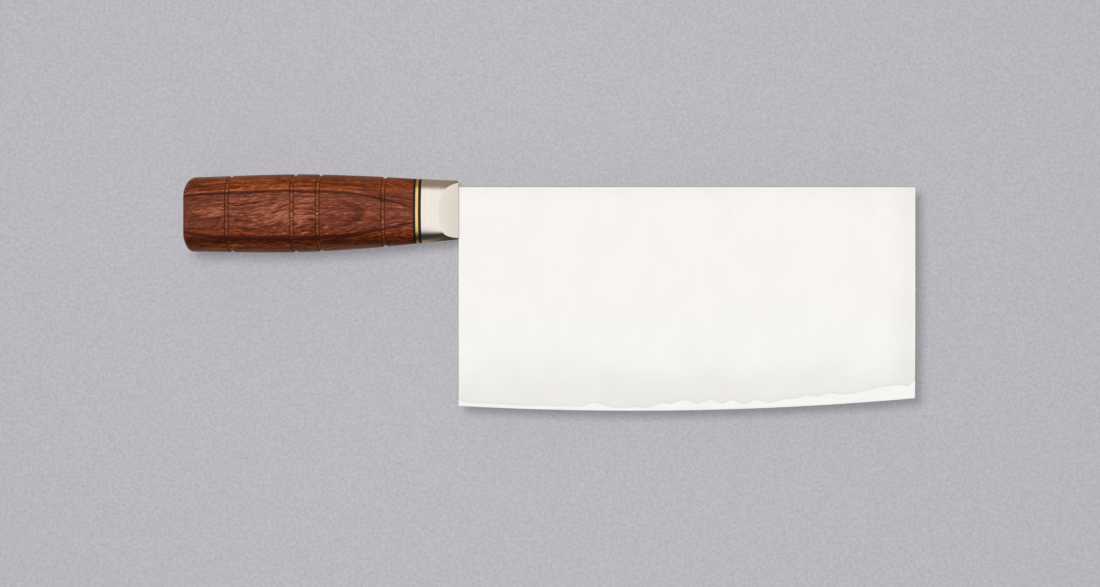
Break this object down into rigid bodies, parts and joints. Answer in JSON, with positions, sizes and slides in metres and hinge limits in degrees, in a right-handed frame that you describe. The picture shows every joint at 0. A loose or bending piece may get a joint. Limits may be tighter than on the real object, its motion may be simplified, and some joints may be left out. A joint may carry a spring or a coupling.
{
  "type": "chinese cleaver",
  "caption": "Tall rectangular vegetable cleaver with a laminated steel blade, a scooped steel bolster, black and brass spacers and a grooved wooden handle on a through tang.",
  "frame": {"origin": "on the blade's middle plane, where the handle's axis meets the heel of the blade", "axes": "+X from the heel to the tip, +Y from the edge to the spine, +Z out of the blade's front face; the cleaver lies flat on its side"},
  "size_m": [0.3186, 0.1036, 0.027],
  "materials": {
    "core_steel": "hard core steel, finely polished at the edge",
    "cladding_steel": "soft stainless cladding, fine satin ground across the blade",
    "bolster_steel": "stainless bolster, satin ground",
    "black_fibre": "black vulcanised fibre, sanded flush",
    "brass": "sheet brass, sanded flush",
    "handle_wood": "dark red-brown hardwood, oiled, with open pores and turned grooves",
    "tang_steel": "plain turned steel",
    "bedding": "hardened bedding resin, hidden in the bore"
  },
  "bodies": {
    "root": {"blade_core": "core_steel", "front_cladding": "cladding_steel", "back_cladding": "cladding_steel", "bolster": "bolster_steel", "front_black_spacer": "black_fibre", "brass_spacer": "brass", "rear_black_spacer": "black_fibre", "handle": "handle_wood", "tang_rod": "tang_steel", "tang_bedding": "bedding", "butt_washer": "tang_steel", "butt_nut": "tang_steel"}
  },
  "joints": []
}
